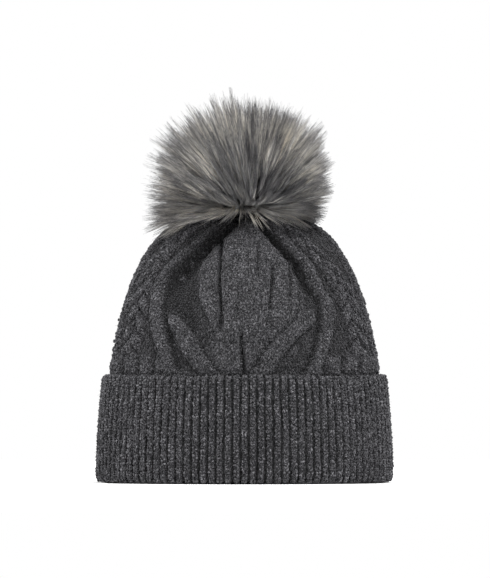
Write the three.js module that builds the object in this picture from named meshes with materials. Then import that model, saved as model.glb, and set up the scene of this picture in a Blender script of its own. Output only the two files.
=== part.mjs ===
// A cable-knit beanie with a turned-up ribbed cuff and a faux-fur pom on a ring snap.
//
// Millimetres, +Z up. The beanie stands open on the edge of its cuff, as it sits on a head of
// about 58 cm. The origin is the centre of the head opening, in the plane of the cuff's edge.
// +X runs across the front panel and the back seam is at +Y.
//
// The knitted wall is a dome whose level sections are ellipses. Its outer face is where
//     (radius / wallHalfWidth) ^ shoulder + (height / crownTop) ^ rise = 1
// with radius measured along X. The cuff, the seam and the label all follow that face.

import * as THREE from 'three';
import { ParametricGeometry } from 'three/addons/geometries/ParametricGeometry.js';

// ---- driving dimensions: the knitted hat ------------------------------------------------

const wallHalfWidth = 109.5; // outer face of the knitted wall at the cuff's edge, from the centre
const depthRatio = 0.777; // front-to-back size of each level section over its width
const crownTop = 210.5; // outer face at the middle of the crown
const shoulder = 3.4; // the higher, the squarer the crown's shoulder
const rise = 2.07; // the higher, the longer the wall stays upright
const knitThickness = 4.5;
const crownHoleRadius = 4; // left open where the last round of stitches is drawn together

const cuffHeight = 82.4;
const cuffThickness = 4.7;
const cuffLip = 3; // thickness of the fold that turns under the wall
const cuffCornerHeight = 7; // how high the rounded outer corner of the fold reaches
const cuffFlatOut = 0.5; // how far outside the wall's outer face the fold still lies flat
const cuffEdge = 1.2; // rounding of the cuff's other edges

const seamWidth = 5;
const seamDepth = 2;
const seamStart = 6; // height of the seam's lower end
const seamEndRadius = 30; // the seam stops this far from the middle of the crown
const seamGap = 0.6; // from the wall's inner face

const labelWidth = 20;
const labelHeight = 32;
const labelLeaf = 0.4; // one layer of the folded label
const labelSlack = 0.5; // between its two layers
const labelBottom = 43;

// ---- driving dimensions: the snap -------------------------------------------------------

const clearance = 0.3; // between pieces that touch

const yarnRadius = 0.8;
const backingRadius = 14;
const backingThickness = 2;

const postRadius = 1.8;
const postFlangeRadius = 6;
const postFlangeThickness = 0.8;
const postHeadRadius = 2.6;
const postHeadThickness = 0.6;

const socketRadius = 6.5;
const socketFloor = 0.8;
const socketRim = 0.5; // the lip that keeps the spring in its groove

const studNeckRadius = 2.8;
const studBulbRadius = 3.3;
const studBulbHeight = 1.2;
const studFlangeRadius = 6;
const studFlangeThickness = 1;

const springPlay = 0.2; // between the spring and the stud's neck
const springWire = 0.8;
const springGapAngle = 50; // degrees left open in the split ring

const shankRadius = 1.6;
const shankLength = 1.8;

// ---- driving dimensions: the pom --------------------------------------------------------

const peltRadius = 20;
const peltThickness = 1.5;
const peltOpeningRadius = 6;
const peltLift = 0.8; // from the pivot up to the edge of the pelt's opening
const threadRadius = 0.5;
const threadSpread = 1.5; // from the pelt's opening out to the draw thread
const baseDiscRadius = 9;
const baseDiscThickness = 1.2;
const furRadius = 66;
const furHeight = 79;
const furOpeningRadius = 10.5;

// ---- how finely round shapes are divided ------------------------------------------------

const wallSides = 48;
const wallSteps = 24;
const cuffSteps = 5;
const snapSides = 24;
const pomSides = 32;
const arcSteps = 10;

// ---- the wall's outer face --------------------------------------------------------------

const radiusAt = (height) => wallHalfWidth * (1 - (height / crownTop) ** rise) ** (1 / shoulder);
const heightAt = (radius) => crownTop * (1 - (radius / wallHalfWidth) ** shoulder) ** (1 / rise);

// Stations up the wall, each [radius, height], closest together round the shoulder.
function wallStations(fromHeight, toRadius, steps) {
  const start = Math.asin((fromHeight / crownTop) ** (rise / 2));
  const end = Math.acos((toRadius / wallHalfWidth) ** (shoulder / 2));
  const stations = [];
  for (let i = 0; i <= steps; i += 1) {
    const turn = start + ((end - start) * i) / steps;
    const radius = wallHalfWidth * Math.cos(turn) ** (2 / shoulder);
    const height = crownTop * Math.sin(turn) ** (2 / rise);
    stations.push([radius, height]);
  }
  return stations;
}

// The outward direction of the face, from the gradient of the dome's formula.
function wallNormal(angle, [radius, height]) {
  const across = (shoulder * radius ** (shoulder - 1)) / wallHalfWidth ** shoulder;
  const up = (rise * height ** (rise - 1)) / crownTop ** rise;
  const normal = new THREE.Vector3(across * Math.cos(angle), (across * Math.sin(angle)) / depthRatio, up);
  return normal.normalize();
}

function wallPoint(angle, station, outward) {
  const [radius, height] = station;
  const point = new THREE.Vector3(radius * Math.cos(angle), depthRatio * radius * Math.sin(angle), height);
  return point.addScaledVector(wallNormal(angle, station), outward);
}

// The same, but measured level, for the cuff that is wrapped round the wall.
function cuffPoint(angle, outward, height) {
  const level = new THREE.Vector3(Math.cos(angle), Math.sin(angle) / depthRatio, 0).normalize();
  const radius = radiusAt(height);
  const point = new THREE.Vector3(radius * Math.cos(angle), depthRatio * radius * Math.sin(angle), height);
  return point.addScaledVector(level, outward);
}

// A closed ring: one closed section, carried right round the head opening.
function ringGeometry(sectionLength, pointAt) {
  const place = (u, v, target) => {
    const angle = 2 * Math.PI * (Math.round(u * wallSides) % wallSides) / wallSides;
    target.copy(pointAt(angle, Math.round(v * sectionLength) % sectionLength));
  };
  return new ParametricGeometry(place, wallSides, sectionLength);
}

// ---- turned shapes ----------------------------------------------------------------------

function turned(outline, sides) {
  const points = outline.map(([radius, height]) => new THREE.Vector2(radius, height));
  return new THREE.LatheGeometry(points, sides).rotateX(Math.PI / 2);
}

// A washer or tube, from its inner and outer radius and its two heights.
function collar(inner, outer, low, high) {
  return [[inner, low], [outer, low], [outer, high], [inner, high], [inner, low]];
}

// Points round a circle centred on the axis. Angles are in radians up from level.
function axisArc(radius, centre, from, to) {
  const points = [];
  for (let i = 0; i <= arcSteps; i += 1) {
    const turn = from + ((to - from) * i) / arcSteps;
    points.push([Math.max(0, radius * Math.cos(turn)), centre + radius * Math.sin(turn)]);
  }
  return points;
}

// A round cord bent into a ring about the axis.
function cordRing(ringRadius, cordRadius, height) {
  return new THREE.TorusGeometry(ringRadius, cordRadius, 8, pomSides).translate(0, 0, height);
}

const straightUp = Math.PI / 2;

// ---- heights up the crown, each resting on the one below --------------------------------

// The crown is all but flat over the backing disc, and this is its outer face past the disc's edge.
const backingEdge = (backingRadius + clearance) / depthRatio;
const backingTop = heightAt(backingEdge) - knitThickness - clearance;
const backingBottom = backingTop - backingThickness;
const postFlangeTop = backingBottom - clearance;

const socketBottom = crownTop + clearance;
const socketFloorTop = socketBottom + socketFloor;
const postHeadBottom = socketFloorTop + clearance;
const postHeadTop = postHeadBottom + postHeadThickness;
const studBulbBottom = postHeadTop + clearance;
const studBulbTop = studBulbBottom + studBulbHeight;
const springBottom = studBulbTop + clearance;
const springTop = springBottom + springWire;
const grooveBottom = springBottom - clearance;
const grooveTop = springTop + clearance;
const socketTop = grooveTop + socketRim;

const springInnerRadius = studNeckRadius + springPlay;
const springOuterRadius = springInnerRadius + springWire;
const grooveRadius = springOuterRadius + clearance;
const socketRecessRadius = studBulbRadius + clearance;

const studFlangeBottom = socketTop + clearance;
const studFlangeTop = studFlangeBottom + studFlangeThickness;
const shankBottom = studFlangeTop + clearance;
const shankTop = shankBottom + shankLength;
const pomPivot = shankTop + clearance;

const peltEdge = pomPivot + peltLift;
const peltCentre = peltEdge + Math.sqrt(peltRadius ** 2 - peltOpeningRadius ** 2);
const peltInnerRadius = peltRadius - peltThickness;
const stuffingRadius = peltInnerRadius - clearance;
const baseDiscBottom = peltCentre - Math.sqrt(stuffingRadius ** 2 - baseDiscRadius ** 2);
const baseDiscTop = baseDiscBottom + baseDiscThickness;

// ---- the knitted hat --------------------------------------------------------------------

function knitBody() {
  const outer = wallStations(cuffLip + clearance, backingEdge, wallSteps);
  outer.push([crownHoleRadius, heightAt(crownHoleRadius)]);
  const section = outer.map((station) => [station, 0]);
  for (const station of outer.toReversed()) section.push([station, -knitThickness]);
  return ringGeometry(section.length, (angle, i) => wallPoint(angle, section[i][0], section[i][1]));
}

// The cuff's section as [distance outside the wall's face, height], anticlockwise.
function cuffSection() {
  const face = clearance + cuffThickness;
  const section = [];
  for (let i = 0; i <= arcSteps / 2; i += 1) {
    const turn = (Math.PI * i) / arcSteps;
    const outward = cuffFlatOut + (face - cuffFlatOut) * Math.sin(turn);
    section.push([outward, cuffCornerHeight * (1 - Math.cos(turn))]);
  }
  const levels = (from, to) => {
    const heights = [];
    for (let i = 1; i <= cuffSteps; i += 1) heights.push(from + ((to - from) * i) / cuffSteps);
    return heights;
  };
  for (const height of levels(cuffCornerHeight, cuffHeight - cuffEdge)) section.push([face, height]);
  section.push([face - cuffEdge, cuffHeight], [clearance + cuffEdge, cuffHeight]);
  section.push([clearance, cuffHeight - cuffEdge]);
  for (const height of levels(cuffHeight - cuffEdge, cuffLip)) section.push([clearance, height]);
  section.push([-knitThickness, cuffLip], [-knitThickness, cuffEdge], [cuffEdge - knitThickness, 0]);
  return section;
}

function ribCuff() {
  const section = cuffSection();
  return ringGeometry(section.length, (angle, i) => cuffPoint(angle, section[i][0], section[i][1]));
}

// The seam allowance, a flat ridge up the inside of the back.
function backSeam() {
  const middle = -(knitThickness + seamGap + seamDepth / 2);
  const stations = wallStations(seamStart, seamEndRadius, wallSteps);
  const route = stations.map((station) => wallPoint(straightUp, station, middle));
  const allowance = new THREE.Shape();
  allowance.moveTo(-seamWidth / 2, -seamDepth / 2);
  allowance.lineTo(seamWidth / 2, -seamDepth / 2);
  allowance.lineTo(seamWidth / 2, seamDepth / 2);
  allowance.lineTo(-seamWidth / 2, seamDepth / 2);
  const extrudePath = new THREE.CatmullRomCurve3(route);
  return new THREE.ExtrudeGeometry(allowance, { steps: 2 * wallSteps, extrudePath });
}

// A blank tape label folded in half, hanging from the seam with its fold at the bottom.
function careLabel() {
  const back = knitThickness + seamGap + seamDepth + clearance;
  const inner = back + labelLeaf;
  const front = inner + labelSlack;
  const labelTop = labelBottom + labelHeight;
  const at = (inset, height) => new THREE.Vector2(depthRatio * radiusAt(height) - inset, height);
  const tape = new THREE.Shape([
    at(back, labelBottom + labelLeaf),
    at(back, labelTop),
    at(inner, labelTop),
    at(inner, labelBottom + labelLeaf),
    at(front, labelBottom + labelLeaf),
    at(front, labelTop),
    at(front + labelLeaf, labelTop),
    at(front + labelLeaf, labelBottom + labelLeaf),
    at(front, labelBottom),
    at(inner, labelBottom),
  ]);
  const upright = new THREE.Matrix4().makeBasis(
    new THREE.Vector3(0, 1, 0),
    new THREE.Vector3(0, 0, 1),
    new THREE.Vector3(1, 0, 0),
  );
  const geometry = new THREE.ExtrudeGeometry(tape, { depth: labelWidth, bevelEnabled: false });
  return geometry.applyMatrix4(upright).translate(-labelWidth / 2, 0, 0);
}

// ---- the snap ---------------------------------------------------------------------------

// The yarn that draws the crown together, lying round the socket.
function crownDrawYarn() {
  const ringRadius = socketRadius + clearance + yarnRadius + yarnRadius / 2;
  return cordRing(ringRadius, yarnRadius, crownTop + clearance + yarnRadius);
}

function crownBackingDisc() {
  const hole = postRadius + clearance;
  return turned(collar(hole, backingRadius, backingBottom, backingTop), snapSides);
}

// A rivet through the backing disc and the crown, its end rolled over inside the socket.
function socketPost() {
  return turned([
    [0, postFlangeTop - postFlangeThickness],
    [postFlangeRadius, postFlangeTop - postFlangeThickness],
    [postFlangeRadius, postFlangeTop],
    [postRadius, postFlangeTop],
    [postRadius, postHeadBottom],
    [postHeadRadius, postHeadBottom],
    [postHeadRadius, postHeadTop],
    [0, postHeadTop],
  ], snapSides);
}

function snapSocket() {
  const hole = postRadius + clearance;
  return turned([
    [hole, socketBottom],
    [socketRadius, socketBottom],
    [socketRadius, socketTop],
    [socketRecessRadius, socketTop],
    [socketRecessRadius, grooveTop],
    [grooveRadius, grooveTop],
    [grooveRadius, grooveBottom],
    [socketRecessRadius, grooveBottom],
    [socketRecessRadius, socketFloorTop],
    [hole, socketFloorTop],
    [hole, socketBottom],
  ], snapSides);
}

// A split ring that opens to let the stud's bulb through and closes on its neck.
function snapSpring() {
  const half = THREE.MathUtils.degToRad(springGapAngle / 2);
  const ring = new THREE.Shape();
  ring.absarc(0, 0, springOuterRadius, half, 2 * Math.PI - half, false);
  ring.absarc(0, 0, springInnerRadius, 2 * Math.PI - half, half, true);
  const geometry = new THREE.ExtrudeGeometry(ring, {
    depth: springWire,
    bevelEnabled: false,
    curveSegments: arcSteps,
  });
  return geometry.translate(0, 0, springBottom);
}

function snapStud() {
  const middle = (studBulbBottom + studBulbTop) / 2;
  return turned([
    [0, studBulbBottom],
    [studNeckRadius, studBulbBottom],
    [studBulbRadius, middle],
    [studNeckRadius, studBulbTop],
    [studNeckRadius, studFlangeBottom],
    [studFlangeRadius, studFlangeBottom],
    [studFlangeRadius, studFlangeTop],
    [0, studFlangeTop],
  ], snapSides);
}

// The bound thread that ties the pom to the stud.
function pomShank() {
  return turned([[0, shankBottom], [shankRadius, shankBottom], [shankRadius, shankTop], [0, shankTop]], snapSides);
}

// ---- the pom ----------------------------------------------------------------------------

// The disc inside the pelt that the thread is tied to, and the thread's own end below it.
function pomBaseDisc() {
  return turned([
    [0, pomPivot + clearance],
    [shankRadius, pomPivot + clearance],
    [shankRadius, baseDiscBottom],
    [baseDiscRadius, baseDiscBottom],
    [baseDiscRadius, baseDiscTop],
    [0, baseDiscTop],
  ], snapSides);
}

function pomDrawThread() {
  const ringRadius = peltOpeningRadius + threadSpread;
  const underPelt = peltCentre - Math.sqrt(peltRadius ** 2 - ringRadius ** 2);
  return cordRing(ringRadius, threadRadius, underPelt - clearance - threadRadius);
}

// The backing that the fur grows from, drawn up into a ball round the stuffing.
function pomPelt() {
  const outerStart = -Math.acos(peltOpeningRadius / peltRadius);
  const innerStart = -Math.acos(peltOpeningRadius / peltInnerRadius);
  return turned([
    ...axisArc(peltRadius, peltCentre, outerStart, straightUp),
    ...axisArc(peltInnerRadius, peltCentre, straightUp, innerStart),
    [peltOpeningRadius, peltEdge],
  ], pomSides);
}

function pomStuffing() {
  const flat = baseDiscTop + clearance;
  const start = Math.asin((flat - peltCentre) / stuffingRadius);
  return turned([[0, flat], ...axisArc(stuffingRadius, peltCentre, start, straightUp)], pomSides);
}

// The space that the long fur fills: flat underneath, widest low down and domed on top.
function pomFur() {
  const inside = peltRadius + clearance;
  const start = -Math.acos(furOpeningRadius / inside);
  const outline = new THREE.SplineCurve([
    new THREE.Vector2(furOpeningRadius, 0),
    new THREE.Vector2(0.68 * furRadius, 0.06 * furHeight),
    new THREE.Vector2(0.94 * furRadius, 0.16 * furHeight),
    new THREE.Vector2(furRadius, 0.33 * furHeight),
    new THREE.Vector2(0.94 * furRadius, 0.61 * furHeight),
    new THREE.Vector2(0.68 * furRadius, 0.86 * furHeight),
    new THREE.Vector2(0.3 * furRadius, 0.975 * furHeight),
    new THREE.Vector2(0, furHeight),
  ]);
  const skin = outline.getPoints(2 * arcSteps).map((point) => [point.x, peltEdge + point.y]);
  skin[skin.length - 1][0] = 0;
  return turned([...axisArc(inside, peltCentre, start, straightUp).toReversed(), ...skin], pomSides);
}

// ---- materials --------------------------------------------------------------------------

const cloth = (color) => new THREE.MeshStandardMaterial({ color, roughness: 0.95, metalness: 0 });
const metal = (color) => new THREE.MeshStandardMaterial({ color, roughness: 0.35, metalness: 0.9 });

const charcoalWool = 0x423f44;
const cuffWool = 0x424146;
const greyFur = 0x75736f;
const peltGrey = 0x4a4846;
const labelWhite = 0xdedbd4;
const feltBlack = 0x2b2a2c;
const threadGrey = 0x3a393b;
const fillingWhite = 0xe9e7e1;
const nickel = 0xb4b1aa;

// ---- the scene --------------------------------------------------------------------------

const beanie = new THREE.Group();

function add(name, geometry, material) {
  const mesh = new THREE.Mesh(geometry, material);
  mesh.name = name;
  beanie.add(mesh);
}

add('knit_body', knitBody(), cloth(charcoalWool));
add('rib_cuff', ribCuff(), cloth(cuffWool));
add('back_seam', backSeam(), cloth(charcoalWool));
add('care_label', careLabel(), cloth(labelWhite));
add('crown_draw_yarn', crownDrawYarn(), cloth(charcoalWool));
add('crown_backing_disc', crownBackingDisc(), cloth(feltBlack));
add('socket_post', socketPost(), metal(nickel));
add('snap_socket', snapSocket(), metal(nickel));
add('snap_spring', snapSpring(), metal(nickel));
add('snap_stud', snapStud(), metal(nickel));
add('pom_shank', pomShank(), cloth(threadGrey));
add('pom_base_disc', pomBaseDisc(), cloth(feltBlack));
add('pom_draw_thread', pomDrawThread(), cloth(threadGrey));
add('pom_pelt', pomPelt(), cloth(peltGrey));
add('pom_stuffing', pomStuffing(), cloth(fillingWhite));
add('pom_fur', pomFur(), cloth(greyFur));

export default beanie;
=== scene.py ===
"""A cable-knit beanie with a turned-up ribbed cuff and a long-haired faux-fur pom on a ring snap.

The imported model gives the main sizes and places. The knitting is a shaped wall covered with two
loops of yarn for each stitch, and the fur is thousands of separate tapered hairs.
"""

import math

import bmesh
import bpy
import numpy as np
from bpy.props import FloatProperty, FloatVectorProperty, IntProperty, PointerProperty
from bpy.types import Operator, Panel, PropertyGroup
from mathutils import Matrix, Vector


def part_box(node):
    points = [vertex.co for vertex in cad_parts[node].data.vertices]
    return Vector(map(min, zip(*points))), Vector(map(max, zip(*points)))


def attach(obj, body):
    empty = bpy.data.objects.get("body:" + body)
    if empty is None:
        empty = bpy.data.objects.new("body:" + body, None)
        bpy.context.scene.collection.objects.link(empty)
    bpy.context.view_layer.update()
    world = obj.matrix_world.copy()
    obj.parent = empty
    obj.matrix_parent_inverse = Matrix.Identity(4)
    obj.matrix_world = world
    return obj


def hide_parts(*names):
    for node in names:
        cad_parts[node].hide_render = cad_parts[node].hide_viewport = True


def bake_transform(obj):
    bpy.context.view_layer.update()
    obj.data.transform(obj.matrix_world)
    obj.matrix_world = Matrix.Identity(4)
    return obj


bl_info = {
    "name": "Pom Pom Beanie",
    "version": (1, 0, 0),
    "blender": (4, 5, 0),
    "location": "View3D > Sidebar > Beanie",
    "description": "Knits a cable beanie and its fur pom round a packed frame",
    "category": "Add Mesh",
}

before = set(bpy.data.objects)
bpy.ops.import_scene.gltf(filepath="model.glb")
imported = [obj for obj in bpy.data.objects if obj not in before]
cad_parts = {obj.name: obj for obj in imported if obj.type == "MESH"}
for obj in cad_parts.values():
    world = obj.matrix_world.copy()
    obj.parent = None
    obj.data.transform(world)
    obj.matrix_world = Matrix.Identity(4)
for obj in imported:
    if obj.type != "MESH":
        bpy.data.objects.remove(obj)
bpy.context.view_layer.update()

MM = 0.001
BODY_LOW, BODY_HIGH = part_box("knit_body")
CUFF_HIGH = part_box("rib_cuff")[1]
PELT_LOW, PELT_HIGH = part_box("pom_pelt")

# The knitted wall's outer face is where (radius / HALF_WIDTH) ** SHOULDER + (height / CROWN) ** RISE
# is 1, with radius measured along X and its level sections DEPTH_RATIO as deep as they are wide.
SHOULDER = 3.4
RISE = 2.07
CROWN = BODY_HIGH.z
DEPTH_RATIO = BODY_HIGH.y / BODY_HIGH.x
HALF_WIDTH = BODY_HIGH.x / (1 - (BODY_LOW.z / CROWN) ** RISE) ** (1 / SHOULDER)
CROWN_HOLE = 4 * MM
KNIT = 4.5 * MM
CLEARANCE = 0.3 * MM
FOLD = BODY_LOW.z - CLEARANCE


# ---- settings -------------------------------------------------------------------------------


def length(name, text, default):
    return FloatProperty(name=name, description=text, default=default, unit="LENGTH", precision=5)


def count(name, text, default):
    return IntProperty(name=name, description=text, default=default, min=1)


def share(name, text, default):
    return FloatProperty(name=name, description=text, default=default, subtype="FACTOR", min=0, max=1)


def tint(name, text, default):
    return FloatVectorProperty(name=name, description=text, default=default, subtype="COLOR", min=0, max=1)


class BeanieKnitSettings(PropertyGroup):
    """Sizes of the knitting."""

    wales: count("Wales", "Columns of stitches round the body", 164)
    course: length("Course", "Height of one row of stitches", 2.15 * MM)
    ribs: count("Ribs", "Ribs round the cuff", 98)
    rib_course: length("Cuff course", "Height of one row of stitches on the cuff", 2.15 * MM)
    strand_top: length("Strand top", "How far the cables stand out of the wall's face", 0.4 * MM)
    ground: length("Ground", "How deep the plain ground lies between the cables", 4.0 * MM)
    rib_depth: length("Rib depth", "Depth of the furrows between the cuff's ribs", 2.7 * MM)
    haze: count("Haze", "Loose fibres standing off the wool", 10000)
    haze_radius: length("Haze radius", "Radius of a loose fibre at its root", 0.065 * MM)


class BeanieFurSettings(PropertyGroup):
    """Sizes of the fur."""

    hairs: count("Hairs", "Hairs in the pom", 31500)
    tufts: count("Tufts", "Fine tufts that the hairs gather into", 5200)
    locks: count("Locks", "Locks of tufts that bend the same way", 420)
    radius: length("Hair radius", "Radius of a hair at its root", 0.19 * MM)
    clumping: share("Clumping", "How far a hair's tip is drawn to its tuft", 0.85)


class BeanieColourSettings(PropertyGroup):
    """Colours of the yarn, fur and trim, as linear light."""

    wool_dark: tint("Wool, dark fibre", "The darkest fibre in the yarn", (0.005, 0.005, 0.006))
    wool_mid: tint("Wool, main fibre", "The fibre that most of the yarn is", (0.020, 0.0197, 0.0215))
    wool_light: tint("Wool, light fibre", "The pale flecks in the yarn", (0.15, 0.148, 0.156))
    fur_root: tint("Fur root", "Underfur, near the pelt", (0.055, 0.050, 0.045))
    fur_mid: tint("Fur length", "Along most of a hair", (0.70, 0.685, 0.655))
    fur_tip: tint("Fur tip", "The dark last part of a hair", (0.030, 0.030, 0.040))


# ---- the wall's outer face ------------------------------------------------------------------


def dome_table():
    """Radius, height and distance up the wall's face, at many places from its edge to the middle."""
    turn = np.linspace(0, math.pi / 2, 4001)
    radius = HALF_WIDTH * np.cos(turn) ** (2 / SHOULDER)
    height = CROWN * np.sin(turn) ** (2 / RISE)
    radius[-1] = 0
    step = np.hypot(np.diff(radius), np.diff(height))
    return radius, height, np.concatenate([[0], np.cumsum(step)])


DOME_RADIUS, DOME_HEIGHT, DOME_CLIMB = dome_table()


def climb_at_height(height):
    return np.interp(height, DOME_HEIGHT, DOME_CLIMB)


def climb_at_radius(radius):
    return np.interp(-radius, -DOME_RADIUS, DOME_CLIMB)


def station(climb):
    """Radius and height at a distance up the wall's face."""
    return np.interp(climb, DOME_CLIMB, DOME_RADIUS), np.interp(climb, DOME_CLIMB, DOME_HEIGHT)


def unit(vectors):
    return vectors / np.maximum(np.linalg.norm(vectors, axis=-1, keepdims=True), 1e-12)


def level_section(turn, radius, height):
    """Points of the wall's level section that has this radius along X."""
    x, y = radius * np.sin(turn), -DEPTH_RATIO * radius * np.cos(turn)
    return np.stack([x, y, height + 0 * turn], axis=-1)


def dome_point(turn, climb, outward):
    """A point on the wall. Turn is 0 at the middle of the front and grows towards +X."""
    radius, height = station(climb)
    across = SHOULDER * np.maximum(radius, 1e-6) ** (SHOULDER - 1) / HALF_WIDTH**SHOULDER
    up = RISE * height ** (RISE - 1) / CROWN**RISE
    level = [across * np.sin(turn), -across * np.cos(turn) / DEPTH_RATIO]
    normal = unit(np.stack([*level, up + 0 * turn], axis=-1))
    return level_section(turn, radius, height) + normal * np.asarray(outward)[..., None]


def pace_at(turn):
    """How fast a level section is travelled at each turn, against its radius along X."""
    return np.sqrt(np.cos(turn) ** 2 + (DEPTH_RATIO * np.sin(turn)) ** 2)


def even_turn_table():
    """Turns that are equal distances apart round a level section, and the share of the way round."""
    turn = np.linspace(-math.pi, math.pi, 7201)
    pace = pace_at(turn)
    way = np.concatenate([[0], np.cumsum((pace[1:] + pace[:-1]) / 2)])
    return turn, way / way[-1]


TURN_TABLE, WAY_TABLE = even_turn_table()


def turn_at(way):
    """The turn at a share of the way round, which is 0 at the back seam and 0.5 at the front."""
    return np.interp(np.mod(way, 1.0), WAY_TABLE, TURN_TABLE)


def wrapped(turn):
    """The same turn, from -pi to pi."""
    return np.mod(turn + math.pi, 2 * math.pi) - math.pi


def way_at(turn):
    return np.interp(wrapped(turn), TURN_TABLE, WAY_TABLE)


# ---- the cable pattern ----------------------------------------------------------------------


def follow(points, at):
    """The smooth curve through (height, value) points, at the given heights."""
    height, value = np.array(points, float).T
    slope = np.gradient(value, height)
    i = np.clip(np.searchsorted(height, at) - 1, 0, len(height) - 2)
    span = height[i + 1] - height[i]
    t = np.clip((at - height[i]) / span, 0, 1)
    return (
        (2 * t**3 - 3 * t**2 + 1) * value[i]
        + (t**3 - 2 * t**2 + t) * span * slope[i]
        + (3 * t**2 - 2 * t**3) * value[i + 1]
        + (t**3 - t**2) * span * slope[i + 1]
    )


def fade(value, low, high):
    """0 below low, 1 above high, smooth between."""
    t = np.clip((value - low) / (high - low), 0, 1)
    return t * t * (3 - 2 * t)


def window(value, low, high, soft):
    return fade(value, low - soft, low + soft) * (1 - fade(value, high - soft, high + soft))


def bell(distance, width):
    """1 at no distance, and falling away smoothly over about this width."""
    return np.exp(-((distance / width) ** 2))


def ridge(distance, half_width):
    """A round strand's height, from 0 at its edges to 1 along its middle."""
    return np.sqrt(np.clip(1 - (distance / half_width) ** 2, 0, 1))


def lobes(phase, sharpness):
    """A row of round swellings, one for each whole step of the phase, from 0 to 1."""
    return np.abs(np.sin(math.pi * phase)) ** sharpness


def plied(height_along, pitch):
    """How a strand swells where one ply after another comes over it."""
    return 0.72 + 0.28 * np.abs(np.sin(math.pi * height_along / pitch)) ** 0.7


# The medallion on the front, as (height, distance right of the middle) in millimetres.
EDGE_LEFT = [
    (76, -46), (86, -51), (98, -55), (109, -58.5), (130, -62.5), (146, -61.5), (160, -57),
    (171, -48), (185, -33), (198, -18), (207, -6),
]
EDGE_RIGHT = [
    (76, 43), (88, 48), (98, 52.5), (109, 56), (124, 58.5), (143, 56), (150, 51), (160, 47),
    (170, 42), (185, 28), (199, 16), (207, 8),
]
PANEL_LEFT = [
    (104, -18), (118, -24), (130, -30), (142, -35), (155, -37), (168, -36), (178, -32.5),
    (190, -24), (198, -16), (207, -6),
]
PANEL_RIGHT = [
    (104, 36), (118, 43.5), (130, 47), (142, 47), (155, 43.5), (164, 39), (173, 34), (186, 24),
    (199, 13), (207, 7),
]
ARM_LEFT = [(76, -20), (89, -31), (98, -38.5), (117, -49), (130, -57), (140, -60)]
ARM_RIGHT = [(76, 8), (86, 14.4), (97, 20.4), (108, 29), (115, 35.6), (124, 46), (138, 52)]
FOLD_LEFT = [(140, -58), (155, -54), (166, -47), (174, -40), (186, -29), (198, -16), (207, -6)]
FOLD_RIGHT = [(140, 56), (150, 50), (160, 46), (170, 40.5), (185, 27), (199, 15.5), (207, 8)]

# Furrows between the panel's ribs: place across, lower end, upper end and depth. The first three
# and the width are in millimetres, and a depth of 1 cuts to a little under the plain ground.
FURROW_WIDTH = 2.0
FURROWS = [
    (-19.0, 118, 198, 1.2),
    (-4.5, 128, 150, 0.4),
    (11, 158, 187, 0.5),
    (21, 134, 168, 0.85),
    (35, 142, 168, 0.6),
    (-1.5, 76, 116, 1.3),
    (11, 78, 96, 0.5),
]

# Furrows above the cuff at the sides, the same way.
SIDE_FURROWS = [
    (-72, 76, 108, 0.9),
    (-84, 76, 102, 0.8),
    (-96, 76, 112, 0.9),
    (63, 76, 104, 0.9),
    (77, 76, 112, 0.9),
    (90, 76, 106, 0.8),
]

# The plait each side of the medallion, as (height, degrees round from the middle of the front).
PLAIT_LEFT = [(76, -63), (128, -62), (161, -62), (182, -56), (198, -46), (207, -36)]
PLAIT_RIGHT = [(76, 64), (128, 63), (150, 60), (167, 53), (185, 43), (198, 34), (207, 26)]


def furrowed(cover, x, height, furrows):
    for across, low, high, depth in furrows:
        bowed = across + 0.8 * np.sin(height / 9 + across)
        cut = bell(x - bowed, FURROW_WIDTH) * window(height, low, high, 4)
        cover = cover * (1 - 0.95 * depth * cut) - 0.45 * depth * cut
    return cover


# How much each ply of a strand leans as it crosses it.
PLY_LEAN = 0.6


def medallion(x, height):
    """The middle of a panel: ribs, the two arms under them and the ground between, from 0 to 1."""
    edge_round, arm_half_width, arm_slant, groove = 6.5, 6.4, 0.74, 6.8
    inside = np.minimum(x - follow(PANEL_LEFT, height), follow(PANEL_RIGHT, height) - x)
    rounded = np.sqrt(np.clip(1 - (1 - np.clip(inside / edge_round, 0, 1)) ** 2, 0, 1))
    panel = rounded * fade(height, 103, 113)
    foot = ridge(x + 1, 25) ** 0.5 * (1 - fade(height, 106, 114)) * 0.85
    purl = 0.22 + 0.16 * np.sin(height / 3.1) * np.sin(x / 2.7)
    cover = np.maximum(np.maximum(panel, foot), purl * (1 - fade(height, 128, 150)))
    for arm, side in ((ARM_LEFT, 1), (ARM_RIGHT, -1)):
        off = (x - follow(arm, height)) * arm_slant
        plies = plied(height + side * PLY_LEAN * x, 14)
        strand = ridge(off, arm_half_width) * plies * (1 - fade(height, 126, 139)) * 1.08
        cover = np.maximum(cover * (1 - 0.7 * bell(np.abs(off) - groove, 1.8)), strand)
    return furrowed(cover, x, height, FURROWS)


def plait(across, along):
    """Two columns of leaning lobes that meet along the middle, from 0 to 1."""
    column, lobe_pitch = 6.0, 14
    side = np.sign(across + 1e-9)
    off = np.abs(across) - column
    lean = (along + 0.8 * np.abs(across) + 3.5 * side) / lobe_pitch
    return ridge(off, column + 0.3) * (1.12 * lobes(lean, 0.75) - 0.06)


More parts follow.
